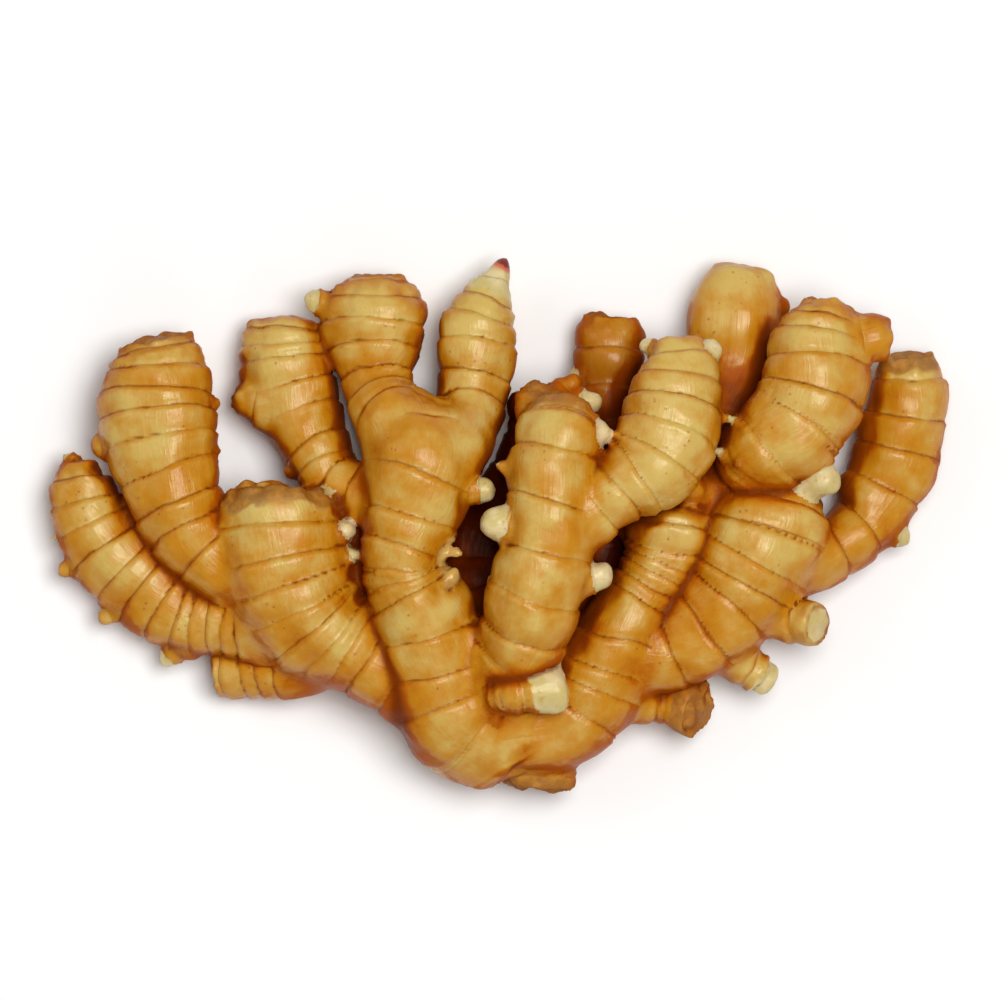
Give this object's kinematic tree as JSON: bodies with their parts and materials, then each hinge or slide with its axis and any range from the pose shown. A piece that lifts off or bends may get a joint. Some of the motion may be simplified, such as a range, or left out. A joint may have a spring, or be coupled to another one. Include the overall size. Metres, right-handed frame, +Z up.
{
  "type": "ginger root",
  "caption": "Fresh ginger rhizome: a fanned hand of stout ringed fingers with small buds, grown as one piece from a broken foot and lying flat.",
  "frame": {"origin": "middle of the footprint, on the surface that the root lies on", "axes": "+X across the fan of fingers, its longest side; +Y from the broken foot to the fingertips; +Z up, from the surface to the top of the highest finger, its shortest side"},
  "size_m": [0.2004, 0.1192, 0.045],
  "materials": {
    "skin": "thin golden-tan plant skin, satin, with a light waxy shine"
  },
  "bodies": {
    "root": {"ginger_root": "skin"}
  },
  "joints": []
}
